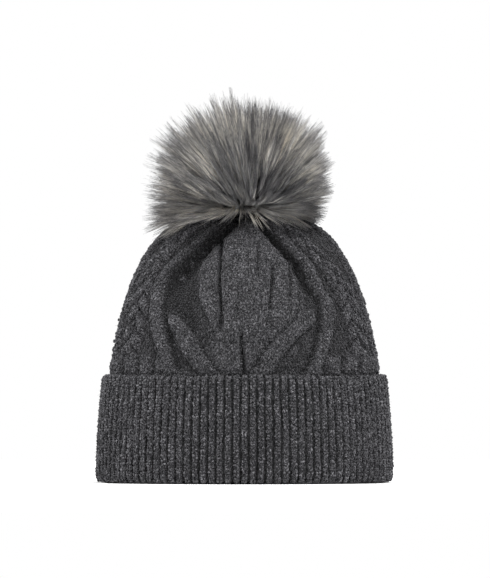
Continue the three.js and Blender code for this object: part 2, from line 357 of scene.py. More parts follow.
def panel_relief(x, height, turn, radius):
    """One face of the hat, front or back: 0 on the ground, 1 on the cables, less than 0 in a fold."""
    full_plait_radius, strand_off, strand_half_width = 92, 6.5, 5.6
    edge_left, edge_right = follow(EDGE_LEFT, height), follow(EDGE_RIGHT, height)
    within = np.minimum(x - edge_left, edge_right - x)
    inner = medallion(x, height) * fade(within, 0.5, 4)
    pace = radius * pace_at(turn)
    outer = np.zeros_like(x)
    for axis, edge, side in ((PLAIT_LEFT, edge_left, -1), (PLAIT_RIGHT, edge_right, 1)):
        spread = np.clip(radius / full_plait_radius, 0.25, 1.0)
        across = (turn - np.radians(follow(axis, height))) * pace / spread
        outer = np.maximum(outer, plait(across, height) * fade(height, 88, 98))
        beside = side * (x - edge) - strand_off
        plies = plied(height - side * PLY_LEAN * x, 16)
        outer = np.maximum(outer, ridge(beside, strand_half_width) * plies * 1.02)
        degrees = side * np.degrees(turn)
        rib = np.abs(np.sin(math.pi * (degrees - 4) / 8.2)) ** 0.6
        outer = np.maximum(outer, rib * 0.9 * fade(degrees, 76, 79))
    low = (1 - fade(height, 92, 104)) * 0.9 * fade(-within, 8, 12)
    outer = np.maximum(outer, furrowed(low, x, height, SIDE_FURROWS))
    cover = np.where(within > 0, inner, outer)
    cover = cover * (1 - bell(within, 2.4))
    cover = cover - 0.35 * bell(within, 3.0) * fade(height, 84, 92)
    for line, depth, width in ((FOLD_LEFT, 2.4, 9.0), (FOLD_RIGHT, 1.5, 4.8)):
        strength = window(height, 152, 208, 14)
        cover = cover - depth * strength * bell(x - follow(line, height), width)
    hollow = window(x, -58, -38, 5) * window(height, 112, 168, 10)
    return cover - 0.65 * hollow * (cover < 0.7)


def relief(turn, climb, knit):
    """How far the knitted wall stands out of the dome's face, in metres."""
    radius, height = station(climb)
    turn, radius, height = np.broadcast_arrays(turn, radius / MM, height / MM)
    turn = wrapped(turn)
    back = np.abs(turn) > math.pi / 2
    faced = np.where(back, np.sign(turn) * math.pi - turn, turn)
    faced = np.where(back, -faced, faced)
    cover = panel_relief(radius * np.sin(faced), height, faced, radius)
    seam = bell(np.abs(np.abs(turn) - math.pi) * radius, 1.3)
    cover = cover * (1 - 0.5 * seam)
    pleats = 0.5 + 0.5 * np.cos(15 * turn + 1.1 * np.sin(3 * turn))
    cover = cover - 0.5 * pleats * fade(height, 192, 208)
    lumps = np.sin(9 * turn + height / 17) * np.sin(height / 12 + 2.2 * np.sin(4 * turn))
    cover = cover + 0.07 * lumps
    depth = knit.ground + knit.strand_top
    out = knit.strand_top - depth * (1 - cover)
    cuff_top = CUFF_HIGH.z / MM
    tucked = fade(height, cuff_top - 3, cuff_top + 7)
    flat = fade(radius, 6, 14)
    out = out * flat - CLEARANCE * (1 - flat)
    return out * tucked - 0.6 * knit.ground * (1 - tucked)


def wall_point(turn, climb, knit):
    return dome_point(turn, climb, relief(turn, climb, knit))


def wall_frame(turn, climb, knit, point_at=wall_point):
    """Point, outward normal and upward tangent of the knitted face."""
    small = 0.35 * MM
    swing = small / np.maximum(station(climb)[0], 3 * MM)
    point = point_at(turn, climb, knit)
    across = point_at(turn + swing, climb, knit) - point_at(turn - swing, climb, knit)
    up = point_at(turn, climb + small, knit) - point_at(turn, climb - small, knit)
    return point, unit(np.cross(across, up)), unit(up)


# ---- the cuff's section ---------------------------------------------------------------------


def level_point(turn, outward, height):
    """A point measured level from the dome's face, as the cuff is."""
    radius = station(climb_at_height(np.maximum(height, 0)))[0]
    level = unit(np.stack([np.sin(turn), -np.cos(turn) / DEPTH_RATIO, 0 * turn], axis=-1))
    return level_section(turn, radius, height) + level * np.asarray(outward)[..., None]


CUFF_FACE = CUFF_HIGH.x - HALF_WIDTH
CUFF_CORNER = 7 * MM
CUFF_FLAT = 0.5 * MM
CUFF_UNDER = 1.2 * MM


def cuff_path():
    """The cuff's outer section, from inside its top edge to the fold under the wall.

    Each row is (outward, height, normal outward, normal up, distance along)."""
    face, top, bead = CUFF_FACE, CUFF_HIGH.z, 2.2 * MM
    points = []
    for turn in np.linspace(math.pi, 0, 9):
        points.append((face - bead + bead * math.cos(turn), top - bead + bead * math.sin(turn)))
    for height in np.linspace(top - bead - 0.9 * MM, CUFF_CORNER, 44):
        points.append((face, height))
    for turn in np.linspace(0, math.pi / 2, 9)[1:]:
        out = CUFF_FLAT + (face - CUFF_FLAT) * math.cos(turn)
        points.append((out, CUFF_CORNER * (1 - math.sin(turn))))
    for out in np.linspace(CUFF_FLAT, -KNIT + CUFF_UNDER, 4)[1:]:
        points.append((out, 0.0))
    points = np.array(points)
    along = np.concatenate([[0], np.cumsum(np.hypot(*np.diff(points, axis=0).T))])
    run = np.gradient(points, along, axis=0)
    run /= np.linalg.norm(run, axis=1, keepdims=True)
    return np.column_stack([points, -run[:, 1], run[:, 0], along])


CUFF_PATH = cuff_path()
CUFF_LENGTH = CUFF_PATH[-1, 4]


def rib_relief(turn, along, knit):
    """The cuff's ribs, 0 on their crests and below it in the furrows between."""
    phase = way_at(turn) * knit.ribs
    wander = 0.05 * np.sin(0.7 * phase + along / (9 * MM))
    wander = wander + 0.04 * np.sin(1.9 * phase - along / (14 * MM))
    wave = np.cos(2 * math.pi * (phase + wander))
    crest = fade(wave, -0.95, 0.45)
    sway = 0.25 * MM * np.sin(phase * 0.9 + along / (21 * MM))
    ends = fade(along, 0, 7 * MM) * 0.65 + 0.35
    under = 1 - 0.15 * fade(along, CUFF_LENGTH - 8 * MM, CUFF_LENGTH)
    return (-knit.rib_depth * (1 - crest) + sway) * ends * under


def cuff_point(turn, along, knit):
    outward, height, normal_out, normal_up = (
        np.interp(along, CUFF_PATH[:, 4], column) for column in CUFF_PATH[:, :4].T
    )
    stand = rib_relief(turn, along, knit)
    edge = 0.5 * MM * np.sin(5 * turn + 1) * fade(height, 60 * MM, 82 * MM)
    height = height + normal_up * stand + edge
    return level_point(turn, outward + normal_out * stand, np.maximum(height, 0.15 * MM))


def cuff_down(turn, along, knit):
    """The cuff's face with its distance measured upwards, so that a stitch there points up."""
    return cuff_point(turn, CUFF_LENGTH - along, knit)


def rib_relief_down(turn, along, knit):
    return rib_relief(turn, CUFF_LENGTH - along, knit)


# ---- making meshes --------------------------------------------------------------------------


def scene_object(name, mesh):
    made = bpy.data.objects.new(name, mesh)
    bpy.context.scene.collection.objects.link(made)
    return made


def mesh_of_points(name, points):
    mesh = bpy.data.meshes.new(name)
    mesh.vertices.add(len(points))
    mesh.vertices.foreach_set("co", np.ascontiguousarray(points, np.float32).ravel())
    return mesh


def mesh_object(name, points, faces):
    """An object from an array of points and an array of four-sided faces."""
    mesh = mesh_of_points(name, points)
    faces = np.asarray(faces, np.int32)
    mesh.loops.add(faces.size)
    mesh.loops.foreach_set("vertex_index", faces.ravel())
    mesh.polygons.add(len(faces))
    starts = np.arange(len(faces), dtype=np.int32) * faces.shape[1]
    mesh.polygons.foreach_set("loop_start", starts)
    mesh.update(calc_edges=True)
    mesh.shade_smooth()
    return scene_object(name, mesh)


def ring_faces(rows, columns, closed_rows):
    """Faces between rings of points. The columns close on themselves, and the rows may."""
    row = np.arange(rows if closed_rows else rows - 1)[:, None]
    column = np.arange(columns)[None, :]
    next_row, next_column = (row + 1) % rows, (column + 1) % columns
    corners = [
        row * columns + column,
        row * columns + next_column,
        next_row * columns + next_column,
        next_row * columns + column,
    ]
    return np.stack(np.broadcast_arrays(*corners), axis=-1).reshape(-1, 4)


def ring_object(name, points, closed_rows=True, welded=False):
    """An object from rings of points, one row of the array for each ring."""
    made = mesh_object(name, points.reshape(-1, 3), ring_faces(*points.shape[:2], closed_rows))
    if welded:
        weld(made)
    return made


def weld(made):
    """Joins doubled points, such as a lathe's poles, and turns every face outwards."""
    work = bmesh.new()
    work.from_mesh(made.data)
    bmesh.ops.remove_doubles(work, verts=work.verts, dist=1e-6)
    bmesh.ops.recalc_face_normals(work, faces=work.faces)
    work.to_mesh(made.data)
    work.free()


def attribute(mesh, name, kind, values):
    made = mesh.attributes.new(name, kind, "POINT")
    key = "vector" if kind == "FLOAT_VECTOR" else "value"
    made.data.foreach_set(key, np.ascontiguousarray(values, np.float32).ravel())


def point_cloud(name, points, **values):
    """Bare points with attributes, for a node tree to put something on."""
    mesh = mesh_of_points(name, points)
    for key, value in values.items():
        attribute(mesh, key, "FLOAT_VECTOR" if np.ndim(value) == 2 else "FLOAT", value)
    return scene_object(name, mesh)


def polylines(name, points, **values):
    """Strands as chains of edges. Points has one row of points for each strand."""
    strands, steps = points.shape[:2]
    mesh = mesh_of_points(name, points.reshape(-1, 3))
    start = (np.arange(strands)[:, None] * steps + np.arange(steps - 1)[None, :]).ravel()
    mesh.edges.add(len(start))
    ends = np.stack([start, start + 1], axis=-1).astype(np.int32)
    mesh.edges.foreach_set("vertices", ends.ravel())
    for key, value in values.items():
        attribute(mesh, key, "FLOAT", np.broadcast_to(value, (strands, steps)))
    return scene_object(name, mesh)


def full_turn(columns):
    """Angles spread evenly once round."""
    return np.linspace(0, 2 * math.pi, columns, endpoint=False)


def rings(radius, turn, height):
    """Points round the axis, with turn 0 at the front."""
    ring = np.broadcast_arrays(radius * np.sin(turn), -radius * np.cos(turn), height)
    return np.stack(ring, axis=-1)


def bow(start, middle, end, t):
    """Points on the curve that leaves start towards middle and comes to end from it."""
    return start * (1 - t) ** 2 + middle * 2 * t * (1 - t) + end * t**2


def eased(outline, size, loop):
    """An outline with its corners rounded by about this size."""
    points = np.array(outline, float)
    done = []
    for i, here in enumerate(points):
        if not loop and i in (0, len(points) - 1):
            done.append(here)
            continue
        before, after = points[i - 1] - here, points[(i + 1) % len(points)] - here
        back = min(size, np.linalg.norm(before) * 0.45) / np.linalg.norm(before)
        on = min(size, np.linalg.norm(after) * 0.45) / np.linalg.norm(after)
        start, end = here + before * back, here + after * on
        for t in (0, 0.33, 0.67, 1):
            done.append(bow(start, here, end, t))
    return np.array(done)


def turned(name, outline, ease, loop=False):
    """A lathe-turned piece, from an outline of (radius, height) pairs in millimetres.

    The outline runs up its outside, and ends on the axis unless it is a loop."""
    columns = 72
    radius, height = eased(outline, ease, loop).T[:, :, None]
    points = MM * rings(radius, full_turn(columns)[None, :], height)
    return ring_object(name, points, loop, welded=True)


def box_mm(node):
    """The corners of a node's box, in millimetres."""
    low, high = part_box(node)
    return low / MM, high / MM


def twisted_ring(name, node, plies, twists):
    """A plied yarn laid in a ring about the axis, to fill a node's box."""
    steps, sides = 20 * twists, 16
    low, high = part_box(node)
    cord = (high.z - low.z) / 2
    turn = full_turn(steps)[:, None]
    round_cord = full_turn(sides)[None, :]
    lobe = np.abs(np.cos(plies / 2 * (round_cord - twists * turn * 2 / plies)))
    thick = cord * (0.70 + 0.30 * lobe)
    reach = high.x - cord + thick * np.cos(round_cord)
    height = (low.z + high.z) / 2 + thick * np.sin(round_cord)
    points = np.stack([reach * np.cos(turn), reach * np.sin(turn), height], axis=-1)
    return ring_object(name, points, welded=True)


def place(made, body, node, material=None):
    """Puts a piece on its body, in the place of a node, with the material if one is given."""
    if material:
        made.data.materials.clear()
        made.data.materials.append(material)
    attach(made, body)
    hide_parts(node)


def dress(node, material):
    """Gives a node of the frame a better material, and leaves its shape alone."""
    for held in bpy.data.objects[node].material_slots:
        held.material = material


# ---- node trees -----------------------------------------------------------------------------


def fill(tree, socket, value):
    """Links a socket to another one, or gives it a plain value."""
    if isinstance(value, bpy.types.NodeSocket):
        tree.links.new(value, socket)
    else:
        socket.default_value = value


def add_node(tree, kind, sockets=None, **settings):
    """Adds a node to a tree, with links or plain values by socket name."""
    node = tree.nodes.new(kind)
    for key, value in settings.items():
        setattr(node, key, value)
    for key, value in (sockets or {}).items():
        fill(tree, node.inputs[key], value)
    return node


class TreeBuilder:
    """A Geometry Nodes tree being put together, with named inputs."""

    def __init__(self, name, **inputs):
        self.tree = bpy.data.node_groups.new(name, "GeometryNodeTree")
        sockets = {"Geometry": "Geometry", **inputs, "Material": "Material"}
        for label, kind in sockets.items():
            self.socket(label, "INPUT", kind)
        self.socket("Geometry", "OUTPUT", "Geometry")
        self.given = self.tree.nodes.new("NodeGroupInput").outputs

    def socket(self, label, direction, kind):
        self.tree.interface.new_socket(label, in_out=direction, socket_type="NodeSocket" + kind)

    def add(self, kind, sockets=None, **settings):
        return add_node(self.tree, kind, sockets, **settings)

    def named(self, name, kind):
        node = self.add("GeometryNodeInputNamedAttribute", {"Name": name}, data_type=kind)
        return node.outputs["Attribute"]

    def finish(self, geometry):
        """Realize, smooth and give the material, as every tree here ends."""
        whole = self.add("GeometryNodeRealizeInstances", {"Geometry": geometry}).outputs["Geometry"]
        smooth = self.add("GeometryNodeSetShadeSmooth", {"Geometry": whole}).outputs["Geometry"]
        sockets = {"Geometry": smooth, "Material": self.given["Material"]}
        done = self.add("GeometryNodeSetMaterial", sockets).outputs["Geometry"]
        self.tree.links.new(done, self.tree.nodes.new("NodeGroupOutput").inputs["Geometry"])
        return self.tree


def loop_tree():
    """One plump loop of yarn on every point."""
    build = TreeBuilder("Yarn loops", Sides="Int", Rings="Int", Plumpness="Float")
    given = build.given
    shape = {"Segments": given["Sides"], "Rings": given["Rings"], "Radius": 1.0}
    ball = build.add("GeometryNodeMeshUVSphere", shape)
    axes = {
        "Primary Axis": build.named("normal_to", "FLOAT_VECTOR"),
        "Secondary Axis": build.named("lies_along", "FLOAT_VECTOR"),
    }
    turn = build.add("FunctionNodeAxesToRotation", axes, primary_axis="Z", secondary_axis="Y")
    scale = {0: build.named("size", "FLOAT_VECTOR"), "Scale": given["Plumpness"]}
    size = build.add("ShaderNodeVectorMath", scale, operation="SCALE")
    loops = build.add("GeometryNodeInstanceOnPoints", {
        "Points": given["Geometry"],
        "Instance": ball.outputs["Mesh"],
        "Rotation": turn.outputs["Rotation"],
        "Scale": size.outputs["Vector"],
    })
    return build.finish(loops.outputs["Instances"])


def hair_tree():
    """A solid tapered hair along every chain of edges."""
    build = TreeBuilder("Hairs", Sides="Int", Radius="Float")
    given = build.given
    line = build.add("GeometryNodeMeshToCurve", {"Mesh": given["Geometry"]})
    shape = {"Resolution": given["Sides"], "Radius": 1.0}
    ring = build.add("GeometryNodeCurvePrimitiveCircle", shape)
    factors = {0: build.named("taper", "FLOAT"), 1: given["Radius"]}
    taper = build.add("ShaderNodeMath", factors, operation="MULTIPLY")
    solid = build.add("GeometryNodeCurveToMesh", {
        "Curve": line.outputs["Curve"],
        "Profile Curve": ring.outputs["Curve"],
        "Scale": taper.outputs["Value"],
        "Fill Caps": True,
    })
    return build.finish(solid.outputs["Mesh"])


def grown(name, source, tree, **values):
    """The plain mesh that a node tree makes of a source object, which it takes the place of."""
    modifier = source.modifiers.new("Grow", "NODES")
    modifier.node_group = tree
    for item in tree.interface.items_tree:
        if item.in_out == "INPUT" and item.name in values:
            modifier[item.identifier] = values[item.name]
    bpy.context.view_layer.update()
    ready = source.evaluated_get(bpy.context.evaluated_depsgraph_get())
    mesh = bpy.data.meshes.new_from_object(ready)
    for key in ("normal_to", "lies_along", "size", "taper"):
        if key in mesh.attributes:
            mesh.attributes.remove(mesh.attributes[key])
    source.modifiers.clear()
    bpy.data.objects.remove(source)
    mesh.name = name
    made = scene_object(name, mesh)
    if not made.data.materials or made.data.materials[0] is None:
        made.data.materials.clear()
        made.data.materials.append(values["Material"])
    return made


# ---- materials ------------------------------------------------------------------------------


class Finish:
    """A procedural material being put together round one Principled shader."""

    def __init__(self, name, **values):
        self.material = bpy.data.materials.new(name)
        self.material.use_nodes = True
        self.tree = self.material.node_tree
        self.shader = self.tree.nodes["Principled BSDF"]
        for key, value in values.items():
            self.shader.inputs[key.replace("_", " ")].default_value = value
        self.place = self.tree.nodes.new("ShaderNodeTexCoord").outputs["Object"]

    def node(self, kind, sockets=None, **settings):
        return add_node(self.tree, kind, sockets, **settings)

    def noise(self, scale, detail=3.0, rough=0.6):
        sockets = {"Vector": self.place, "Scale": scale, "Detail": detail, "Roughness": rough}
        return self.node("ShaderNodeTexNoise", sockets).outputs[0]

    def ramp(self, value, stops):
        made = self.node("ShaderNodeValToRGB", {"Fac": value})
        bar = made.color_ramp.elements
        while len(bar) < len(stops):
            bar.new(0.5)
        for element, (at, colour) in zip(bar, stops, strict=True):
            element.position = at
            element.color = (*colour, 1.0)
        return made.outputs["Color"]

    def mix(self, how, amount, low, high):
        made = self.node("ShaderNodeMix", data_type="RGBA", blend_type=how, clamp_factor=True)
        factor, first, second = 0, 6, 7
        for index, value in ((factor, amount), (first, low), (second, high)):
            fill(self.tree, made.inputs[index], value)
        return made.outputs[2]

    def math(self, how, a, b):
        return self.node("ShaderNodeMath", {0: a, 1: b}, operation=how).outputs[0]

    def named(self, name):
        return self.node("ShaderNodeAttribute", attribute_name=name).outputs["Fac"]

    def colour(self, socket):
        self.tree.links.new(socket, self.shader.inputs["Base Color"])

    def bump(self, height, distance, strength=1.0):
        sockets = {"Height": height, "Distance": distance, "Strength": strength}
        made = self.node("ShaderNodeBump", sockets)
        self.tree.links.new(made.outputs["Normal"], self.shader.inputs["Normal"])

    def roughness(self, value, low, high):
        made = self.node("ShaderNodeMapRange", {"Value": value, "To Min": low, "To Max": high})
        self.tree.links.new(made.outputs["Result"], self.shader.inputs["Roughness"])


def grey(value):
    return (value, value, value)


def greys(*stops):
    """The stops of a colour ramp, from places and how light each is."""
    return [(at, grey(value)) for at, value in stops]


def scaled(colour, gain):
    return tuple(gain * c for c in colour)


def wool(name, colours, gain=1.0, loops=False, hollow=(-5.4, 0.1)):
    """Melange wool: fibres of three greys mixed in the yarn, with pale flecks.

    Painted shade darkens the wool in the hollows, which are the heights that hollow names."""
    made = Finish(name, Roughness=0.9, Sheen_Weight=0.25, Sheen_Roughness=0.45, Specular_IOR_Level=0.2)
    made.shader.inputs["Sheen Tint"].default_value = (0.75, 0.75, 0.8, 1)
    dark, mid, light = (
        scaled(tone, gain) for tone in (colours.wool_dark, colours.wool_mid, colours.wool_light)
    )
    fibre = made.noise(800, detail=3.0, rough=0.7)
    stops = [(0.41, dark), (0.475, mid), (0.54, scaled(mid, 2.6)), (0.59, light)]
    main = made.ramp(fibre, stops)
    if loops:
        shades = greys((0.0, 0.50), (0.5, 0.93), (0.8, 1.25), (1.0, 1.35))
        main = made.mix("MULTIPLY", 1.0, main, made.ramp(made.named("shade"), shades))
    # Painted shade: the deeper a place lies in the knit, the darker its colour.
    low, high = hollow
    sockets = {"Value": made.named("height_in_knit"), "From Min": low, "From Max": high}
    depth = made.node("ShaderNodeMapRange", sockets).outputs["Result"]
    shadow = made.ramp(depth, greys((0.0, 0.12), (0.35, 0.42), (0.75, 0.92), (1.0, 1.06)))
    main = made.mix("MULTIPLY", 1.0, main, shadow)
    cloud = made.noise(170, detail=3.0)
    main = made.mix("MULTIPLY", 0.8, main, made.ramp(cloud, greys((0.33, 0.60), (0.67, 1.45))))
    fleck = made.ramp(made.noise(520, detail=2.0), greys((0.60, 0), (0.72, 1)))
    main = made.mix("MIX", made.math("MULTIPLY", fleck, 0.17), main, (*light, 1))
    made.colour(main)
    made.bump(made.noise(1300, detail=3.0), 0.5 * MM, 1.0)
    made.roughness(cloud, 0.82, 0.97)
    return made.material


def haze_wool(name, colours):
    """Loose fibre that stands off the yarn."""
    made = Finish(name, Roughness=0.85, Sheen_Weight=0.2, Specular_IOR_Level=0.2)
    stops = [(0.35, scaled(colours.wool_mid, 1.2)), (0.7, scaled(colours.wool_light, 0.9))]
    made.colour(made.ramp(made.noise(300, detail=2.0), stops))
    return made.material


def fur(name, colours):
    """Long acrylic hair: dark underfur, a pale length and a dark tip, each hair its own shade, part of it
    painted shade.
    """
    made = Finish(name, Roughness=0.42, Specular_IOR_Level=0.4, Sheen_Weight=0.1)
    length_stops = [(0.30, 0.42), (0.58, 0.92), (0.74, 1.12), (0.89, 0.55)]
    tones = [(at, scaled(colours.fur_mid, gain)) for at, gain in length_stops]
    tones = [(0.0, tuple(colours.fur_root)), *tones, (1.0, tuple(colours.fur_tip))]
    shades = [
        (0.0, (0.16, 0.16, 0.18)),
        (0.3, (0.50, 0.50, 0.53)),
        (0.55, (1.0, 0.99, 0.98)),
        (1.0, (1.75, 1.68, 1.56)),
    ]
    along, each = made.ramp(made.named("along"), tones), made.ramp(made.named("shade"), shades)
    made.colour(made.mix("MULTIPLY", 1.0, along, each))
    return made.material


def metal(name):
    """Nickel-plated brass, turned, its colour and roughness varying in patches."""
    made = Finish(name, Metallic=1.0, Anisotropic=0.4)
    stops = [(0.30, (0.42, 0.41, 0.39)), (0.55, (0.60, 0.59, 0.56)), (0.75, (0.68, 0.67, 0.64))]
    made.colour(made.ramp(made.noise(260, detail=5.0), stops))
    made.roughness(made.noise(900, detail=4.0), 0.20, 0.38)
    made.bump(made.noise(2400, detail=2.0), 0.02 * MM, 0.4)
    return made.material


def fibrous(name, low, high, scale, deep=0.15):
    """Matted or spun fibre: felt, filling, thread or backing cloth."""
    made = Finish(name, Roughness=0.9, Sheen_Weight=0.3, Specular_IOR_Level=0.2)
    coarse, fine = made.noise(scale, detail=5.0, rough=0.7), made.noise(3.3 * scale, detail=3.0)
    main = made.ramp(coarse, [(0.3, low), (0.7, high)])
    made.colour(made.mix("MULTIPLY", 0.5, main, made.ramp(fine, greys((0.3, 0.6), (0.7, 1.2)))))
    made.bump(fine, deep * MM, 0.8)
    made.roughness(coarse, 0.8, 0.98)
    return made.material


def tape(name):
    """White satin-woven tape."""
    made = Finish(name, Roughness=0.5, Sheen_Weight=0.3)
    threads = []
    for scale, distortion, direction in ((900.0, 0.6, "Z"), (1300.0, 0.4, "X")):
        sockets = {"Vector": made.place, "Scale": scale, "Distortion": distortion}
        wave = made.node("ShaderNodeTexWave", sockets, bands_direction=direction)
        threads.append(wave.outputs["Fac"])
    cross = made.math("MULTIPLY", *threads)
    made.colour(made.ramp(cross, [(0.0, (0.62, 0.61, 0.58)), (0.6, (0.80, 0.79, 0.76))]))
    made.bump(cross, 0.05 * MM, 0.8)
    made.roughness(made.noise(500), 0.42, 0.6)
    return made.material


# ---- operators ------------------------------------------------------------------------------


class BeanieOperator:
    """What every operator here shares."""

    bl_options = {"REGISTER"}

    @property
    def knit(self):
        return bpy.context.scene.beanie_knit

    @property
    def fur(self):
        return bpy.context.scene.beanie_fur

    @property
    def colours(self):
        return bpy.context.scene.beanie_colours


class BEANIE_OT_stage(BeanieOperator, Operator):
    """Set the camera, the soft studio light and the pale floor"""

    bl_idname = "beanie.stage"
    bl_label = "Set the stage"

    def execute(self, context):
        self.camera(context.scene)
        self.lights(context.scene)
        self.floor()
        return {"FINISHED"}

    def camera(self, scene):
        """A long lens, level with the middle of what it shows."""
        seen_height, middle_x, middle_z = 0.4495, 0.0004, 0.1502
        data = bpy.data.cameras.new("camera")
        data.lens, data.sensor_width = 800, 36
        distance = seen_height / 2 / (data.sensor_width / 2 / data.lens)
        made = bpy.data.objects.new("camera", data)
        made.location = (middle_x, -distance, middle_z)
        made.rotation_euler = (math.pi / 2, 0, 0)
        data.clip_start, data.clip_end = 0.05, 50
        scene.collection.objects.link(made)
        scene.camera = made

    def lights(self, scene):
        world = bpy.data.worlds.new("studio")
        world.use_nodes = True
        sky = world.node_tree.nodes["Background"].inputs
        sky["Color"].default_value = (1, 1, 1, 1)
        sky["Strength"].default_value = 1.0
        scene.world = world
        scene.view_settings.view_transform = "Standard"
        target = Vector((0, 0, 0.14))
        for name, spot, size, power in (
            ("key", (0.25, -1.25, 2.3), 0.55, 62),
            ("side", (-1.9, -1.0, 1.2), 0.7, 14),
            ("back", (0.4, 1.8, 1.8), 1.0, 16),
        ):
            data = bpy.data.lights.new(name, "AREA")
            data.shape, data.size, data.energy = "DISK", size, power
            lamp = bpy.data.objects.new(name, data)
            lamp.location = spot
            lamp.rotation_euler = (target - lamp.location).to_track_quat("-Z", "Y").to_euler()
            scene.collection.objects.link(lamp)

    def floor(self):
        reach, under = 1.3, -0.0005
        corners = [(x * reach, y * reach, under) for x, y in ((-1, -1), (1, -1), (1, 1), (-1, 1))]
        floor = mesh_object("floor", corners, [(0, 1, 2, 3)])
        made = Finish("pale floor", Roughness=0.9, Specular_IOR_Level=0.1)
        made.colour(made.ramp(made.noise(3, detail=2.0), greys((0.3, 0.95), (0.7, 0.97))))
        floor.data.materials.append(made.material)


class BEANIE_OT_body(BeanieOperator, Operator):
    """Knit the body: the cabled wall and two loops of yarn for each stitch"""

    bl_idname = "beanie.body"
    bl_label = "Knit the body"

    def execute(self, context):
        self.wall()
        self.stitches()
        return {"FINISHED"}

    def wall(self):
        """A closed shell: up the outer face to the crown, and down the inner one."""
        columns, hidden_rows, rows, inner_rows = 432, 8, 150, 26
        turn = turn_at(np.arange(columns) / columns)[None, :]
        low, centre = climb_at_height(BODY_LOW.z), climb_at_radius(CROWN_HOLE)
        top = climb_at_height(CUFF_HIGH.z - 6 * MM)
        climb = np.linspace(low, top, hidden_rows)[:-1]
        climb = np.concatenate([climb, np.linspace(top, centre, rows)])[:, None]
        out = relief(turn, climb, self.knit)
        outer = dome_point(turn + 0 * climb, climb + 0 * turn, out)
        inner_climb = np.linspace(low, centre, inner_rows)[::-1, None]
        depth = np.minimum(-KNIT, relief(turn, inner_climb, self.knit) - 1.6 * MM)
        inner = dome_point(turn + 0 * inner_climb, inner_climb + 0 * turn, depth)
        wall = ring_object("knitted_wall", np.concatenate([outer, inner]))
        # Heights in the knit, in millimetres, for the wool's painted shade in its hollows; the inner face
        # counts as 2 mm deep.
        height = np.concatenate([out, 0 * depth - 2 * MM]) / MM
        attribute(wall.data, "height_in_knit", "FLOAT", height)
        place(wall, "hat", "knit_body", wool("body wool", self.colours, 0.74))

    def stitches(self):
        """Loops over the wall's outer face, from under the cuff's edge to near the pom."""
        knit = self.knit
        start = climb_at_height(CUFF_HIGH.z - 4 * MM)
        end = climb_at_radius(9 * MM)
        courses = int((end - start) / knit.course)
        climb = start + (np.arange(courses) + 0.5) * knit.course
        radius = station(climb)[0]
        full, half = 56 * MM, 28 * MM
        keep_every = np.where(radius > full, 1, np.where(radius > half, 2, 4))
        chosen = (np.arange(knit.wales)[None, :] % keep_every[:, None]) == 0
        row, column = np.nonzero(chosen)
        pitch = keep_every[row] * self.pitch(radius[row])
        turn = turn_at(column / knit.wales)
        loops = stitch_loops(turn, climb[row], knit, wall_point, relief, pitch, knit.course, seed=11)
        material = wool("stitch wool", self.colours, 0.79, loops=True)
        pieces = 4
        for i, band in enumerate(np.array_split(np.arange(len(loops["points"])), pieces), start=1):
            part = {key: value[band] for key, value in loops.items()}
            made = yarn_loops(f"body_stitches_{i}", part, material)
            place(made, "hat", "knit_body")

    def pitch(self, radius):
        """The width of one wale where the body has this radius."""
        round_unit = 2 * math.pi * math.sqrt((1 + DEPTH_RATIO**2) / 2)
        return round_unit * radius / self.knit.wales


def stitch_loops(turn, climb, knit, point_at, relief_at, pitch, course, seed, stray=0.11):
    """Two leaning loops of yarn for each stitch, as points, directions, sizes, random shades and heights
    for painted shade.
    """
    lean_by, apart, proud = math.radians(24), 0.235, 0.12
    half_width, half_length, half_depth = 0.255, 0.78, 0.28
    point, normal, up = wall_frame(turn, climb, knit, point_at)
    across = np.cross(up, normal)
    pitch = np.broadcast_to(pitch, turn.shape)
    chance = np.random.default_rng(seed)
    # The height in the knit sets the wool's painted shade in its hollows.
    height = relief_at(turn, climb, knit) / MM
    legs = []
    for side in (-1, 1):
        lean = lean_by * (1 + 0.3 * chance.standard_normal(len(turn)))
        along = up * np.cos(lean)[:, None] + side * across * np.sin(lean)[:, None]
        jitter = stray * pitch[:, None] * chance.standard_normal(point.shape)
        centre = point + side * apart * pitch[:, None] * across + normal * proud * MM + jitter
        swell = 1 + 0.14 * chance.standard_normal(len(turn))
        length_up = half_length * course * np.ones_like(pitch)
        size = [half_width * pitch * swell, length_up, half_depth * pitch * swell]
        legs.append({
            "points": centre,
            "normal_to": normal,
            "lies_along": along,
            "size": np.stack(size, axis=-1),
            "shade": chance.random(len(turn)),
            "height_in_knit": height,
        })
    joined = {}
    for key, value in legs[0].items():
        joined[key] = np.stack([leg[key] for leg in legs], axis=1).reshape(-1, *value.shape[1:])
    return joined


def yarn_loops(name, loops, material):
    """The plain mesh of all these loops of yarn."""
    values = dict(loops)
    cloud = point_cloud(name, values.pop("points"), **values)
    return grown(name, cloud, loop_tree(), Material=material, Sides=5, Rings=3, Plumpness=1.0)


